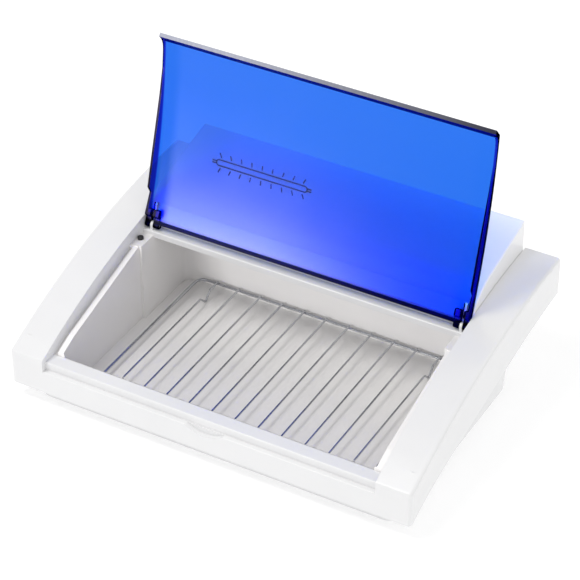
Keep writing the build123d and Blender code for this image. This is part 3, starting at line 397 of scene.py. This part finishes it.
# the chrome's colour is kept darker than bare chrome, a painted darkening of its reflections
CHROME = metal(
    "bright_chrome", light=(0.52, 0.53, 0.56), dark=(0.42, 0.43, 0.46), rough=(0.08, 0.2),
    grain=(900, 0.01 * MM), stretch=(1, 0.05, 1))
STEEL = metal(
    "zinc_steel", light=(0.62, 0.62, 0.63), dark=(0.5, 0.5, 0.52), rough=(0.28, 0.45),
    grain=(1400, 0.02 * MM), worn=(0.8, 0.8, 0.8))
ALUMINIUM = metal(
    "bright_aluminium", light=(0.86, 0.87, 0.88), dark=(0.78, 0.79, 0.81), rough=(0.12, 0.26),
    grain=(1200, 0.01 * MM), stretch=(0.04, 1, 1))
CAN = metal(
    "starter_aluminium", light=(0.8, 0.8, 0.81), dark=(0.7, 0.7, 0.72), rough=(0.3, 0.45),
    grain=(1600, 0.02 * MM), stretch=(0.05, 1, 1))
BRASS = metal(
    "brass", light=(0.85, 0.63, 0.3), dark=(0.7, 0.5, 0.22), rough=(0.2, 0.35),
    grain=(1500, 0.01 * MM), worn=(0.95, 0.8, 0.5))
ENAMEL = metal(
    "grey_enamel", light=(0.3, 0.31, 0.32), dark=(0.24, 0.25, 0.26), rough=(0.35, 0.55),
    grain=(1100, 0.04 * MM), worn=(0.5, 0.5, 0.5), metallic=0.0)
INK = plastic(
    "navy_print", light=(0.02, 0.025, 0.11), dark=(0.014, 0.018, 0.08), rough=(0.45, 0.6),
    grain=(1500, 0.01 * MM), worn=(0.05, 0.06, 0.18))

BY_SLOT = {
    "housing_white": HOUSING,
    "tub_white": TUB,
    "lid_blue": tinted_pane(),
    "steel": STEEL,
    "chrome": CHROME,
    "lamp_glass": lamp_glass(),
    "aluminium": ALUMINIUM,
    "holder_white": HOLDER,
    "black_plastic": BLACK,
    "ballast_enamel": ENAMEL,
    "starter_can": CAN,
    "brass": BRASS,
    "rubber": RUBBER,
}

for node in NODES.values():
    old = node.data.materials[0].name
    node.data.materials.clear()
    node.data.materials.append(BY_SLOT[next(slot for slot in BY_SLOT if slot in old)])
    for polygon in node.data.polygons:
        polygon.material_index = 0


# ---------------------------------------------------------------- added pieces
def add_piece(name, mesh, material, body):
    """Links a new piece that moves with a body."""
    piece = bpy.data.objects.new(name, mesh)
    bpy.context.scene.collection.objects.link(piece)
    mesh.materials.append(material)
    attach(piece, body)


def ribbon(points, width):
    """Pairs of points, left and right, that follow a bent line in x and z at a width."""
    pairs = []
    for index, (start, end) in enumerate(zip(points[:-1], points[1:])):
        way = Vector(end) - Vector(start)
        side = Vector((-way.y, way.x)).normalized() * width / 2
        count = max(1, round(way.length / LINE_STEP))
        for k in range(0 if index == 0 else 1, count + 1):
            centre = Vector(start) + way * (k / count)
            pairs.append((centre + side, centre - side))
    return pairs


def lamp_symbol(centre_x, centre_z):
    """Lines of a small sign: a lamp tube with its pins, and rays above and below it."""
    outline = []
    for end, first in ((1, -90), (-1, 90)):
        middle = centre_x + end * SIGN_HALF_LENGTH
        for k in range(SIGN_ARC_STEPS + 1):
            angle = math.radians(first + 180 / SIGN_ARC_STEPS * k)
            x, z = SIGN_RADIUS * math.cos(angle), SIGN_RADIUS * math.sin(angle)
            outline.append((middle + x, centre_z + z))
    lines = [outline + outline[:1]]
    for end in (-1, 1):
        for side in (-1, 1):
            start = centre_x + end * (SIGN_HALF_LENGTH + SIGN_RADIUS)
            level = centre_z + side * SIGN_PIN_LEVEL
            lines.append([(start, level), (start + end * SIGN_PIN_LENGTH, level)])
    for k in range(-RAYS_EACH_WAY, RAYS_EACH_WAY + 1):
        x = centre_x + k * RAY_PITCH
        for side in (-1, 1):
            lines.append([(x, centre_z + side * RAY_START), (x + k * RAY_LEAN, centre_z + side * RAY_END)])
    return lines


def print_on_lid():
    """Thin print on the lid's inner face, which is in front while it stands open."""
    lid = NODES["lid"]
    surface = BVHTree.FromObject(lid, bpy.context.evaluated_depsgraph_get())
    low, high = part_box("lid")
    width, height = high[0] - low[0], high[2] - low[2]
    centre = (low[0] + SIGN_SHARE_X * width, low[2] + SIGN_SHARE_Z * height)
    mesh = bpy.data.meshes.new("lid_print")
    work = bmesh.new()
    for line in lamp_symbol(*centre):
        last = None
        for pair in ribbon(line, LINE_WIDTH):
            row = []
            for x, z in pair:
                start = Vector((x, low[1] - CAST_DISTANCE, z))
                hit, normal, _, _ = surface.ray_cast(start, Vector((0, 1, 0)))
                row.append([work.verts.new(hit + normal * lift) for lift in (INK_UNDERSIDE, INK_TOP)])
            (left_low, left_high), (right_low, right_high) = row
            if last is None:
                work.faces.new((left_low, left_high, right_high, right_low))
            else:
                (a_low, a_high), (b_low, b_high) = last
                work.faces.new((a_high, b_high, right_high, left_high))
                work.faces.new((a_low, left_low, right_low, b_low))
                work.faces.new((a_low, a_high, left_high, left_low))
                work.faces.new((b_low, right_low, right_high, b_high))
            last = row
        (left_low, left_high), (right_low, right_high) = last
        work.faces.new((left_low, right_low, right_high, left_high))
    bmesh.ops.recalc_face_normals(work, faces=work.faces)
    work.to_mesh(mesh)
    work.free()
    add_piece("lid_print", mesh, INK, "lid")


def weld_beads():
    """Small uneven beads where the rack's wires are welded to the front and rear rails."""
    low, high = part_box("rack_frame")
    rail = (high[2] - low[2]) / 2
    wires_low, wires_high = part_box("rack_wires")
    first = wires_low[0] + WIRE_RADIUS
    pitch = (wires_high[0] - wires_low[0] - 2 * WIRE_RADIUS) / (WIRE_COUNT - 1)
    half_x, half_y, half_z = BEAD_HALF_SIZE
    mesh = bpy.data.meshes.new("rack_weld_beads")
    work = bmesh.new()
    for index in range(WIRE_COUNT):
        for side, y in ((1, low[1] + rail), (-1, high[1] - rail)):
            made = bmesh.ops.create_icosphere(work, subdivisions=3, radius=1.0)["verts"]
            for vert in made:
                x, depth, up = vert.co
                broad = 0.12 * math.sin(3.1 * x + 2.3 * depth + index)
                fine = 0.06 * math.sin(7 * up + 5 * x)
                uneven = 1 + broad + fine
                vert.co = Vector((
                    first + index * pitch + half_x * x * uneven,
                    y + side * BEAD_INWARD + half_y * depth * uneven,
                    high[2] - BEAD_SUNK + half_z * up * uneven,
                ))
    work.to_mesh(mesh)
    work.free()
    for polygon in mesh.polygons:
        polygon.use_smooth = True
    add_piece("rack_weld_beads", mesh, CHROME, "rack")


print_on_lid()
weld_beads()


# ---------------------------------------------------------------- floor, world, lights, camera
def floor():
    """A large pale floor that glows a little, so that shadows stay faint."""
    mesh = bpy.data.meshes.new("floor")
    corners = [(x * FLOOR_HALF, y * FLOOR_HALF, 0) for x, y in ((-1, -1), (1, -1), (1, 1), (-1, 1))]
    mesh.from_pydata(corners, [], [(0, 1, 2, 3)])
    thing = bpy.data.objects.new("floor", mesh)
    bpy.context.scene.collection.objects.link(thing)
    material, tree, shader = start_material("pale_floor")
    socket(shader, "Base Color", ramp(tree, noise(tree, scale=1.5), FLOOR_DARK, FLOOR_LIGHT))
    socket(shader, "Roughness", FLOOR_ROUGHNESS)
    socket(shader, "Emission Color", (*WHITE, 1))
    socket(shader, "Emission Strength", FLOOR_EMISSION)
    thing.data.materials.append(material)


def studio_world():
    """A white world, a little brighter from the upper right."""
    world = bpy.data.worlds.new("studio")
    world.use_nodes = True
    sky = world.node_tree
    background = sky.nodes["Background"]
    way = sky.nodes.new("ShaderNodeTexCoord").outputs["Generated"]
    socket(background, "Color", (*WHITE, 1))
    socket(background, "Strength", spread(sky, along(sky, way, SKY_TOWARDS), *SKY_STRENGTH, *SKY_SPAN))
    bpy.context.scene.world = world
    bpy.context.scene.view_settings.view_transform = "Standard"


def area_light(name, place, aim, size, power, colour=WHITE):
    """A rectangular lamp, hidden from the camera, that points at a place."""
    data = bpy.data.lights.new(name, "AREA")
    data.shape = "RECTANGLE"
    data.size, data.size_y = size
    data.energy = power
    data.color = colour
    thing = bpy.data.objects.new(name, data)
    thing.location = place
    thing.rotation_euler = (Vector(aim) - Vector(place)).to_track_quat("-Z", "Y").to_euler()
    thing.visible_camera = False
    bpy.context.scene.collection.objects.link(thing)
    return thing


def light_only(lamp, node_name):
    """Keeps a lamp's light on one CAD node, to bring that node near its brightness in the photograph."""
    receivers = bpy.data.collections.new("lit_by_" + lamp.name)
    receivers.objects.link(NODES[node_name])
    lamp.light_linking.receiver_collection = receivers


def studio_camera():
    """The camera as fitted to the photograph."""
    data = bpy.data.cameras.new("camera")
    data.lens = CAMERA_LENS
    data.sensor_width = CAMERA_SENSOR
    camera = bpy.data.objects.new("camera", data)
    camera.location = CAMERA_PLACE
    turn = Euler((0, 0, CAMERA_TURN)).to_matrix()
    tilt = Euler((CAMERA_TILT, 0, 0)).to_matrix()
    roll = Euler((0, 0, CAMERA_ROLL)).to_matrix()
    camera.rotation_euler = (turn @ tilt @ roll).to_euler()
    bpy.context.scene.collection.objects.link(camera)
    bpy.context.scene.camera = camera


floor()
studio_world()
area_light(
    "key", place=(-0.72, -0.68, 2.0), aim=MIDDLE, size=(0.7, 0.7), power=14.5, colour=(1, 0.995, 0.985))
light_only(area_light(
    "lid_glow", place=(-0.70, -1.30, 0.30), aim=(-0.07, 0.04, 0.12), size=(0.36, 0.3), power=44), "lid")
light_only(area_light(
    "tub_fill", place=(-0.5, -1.9, 0.55), aim=(0, 0.08, 0.06), size=(0.5, 0.3), power=16), "chamber_tub")
light_only(area_light(
    "rear_fill", place=(1.1, 0.3, 1.2), aim=(0.1, 0.1, 0.12), size=(0.6, 0.6), power=2.8), "rear_cover")
studio_camera()
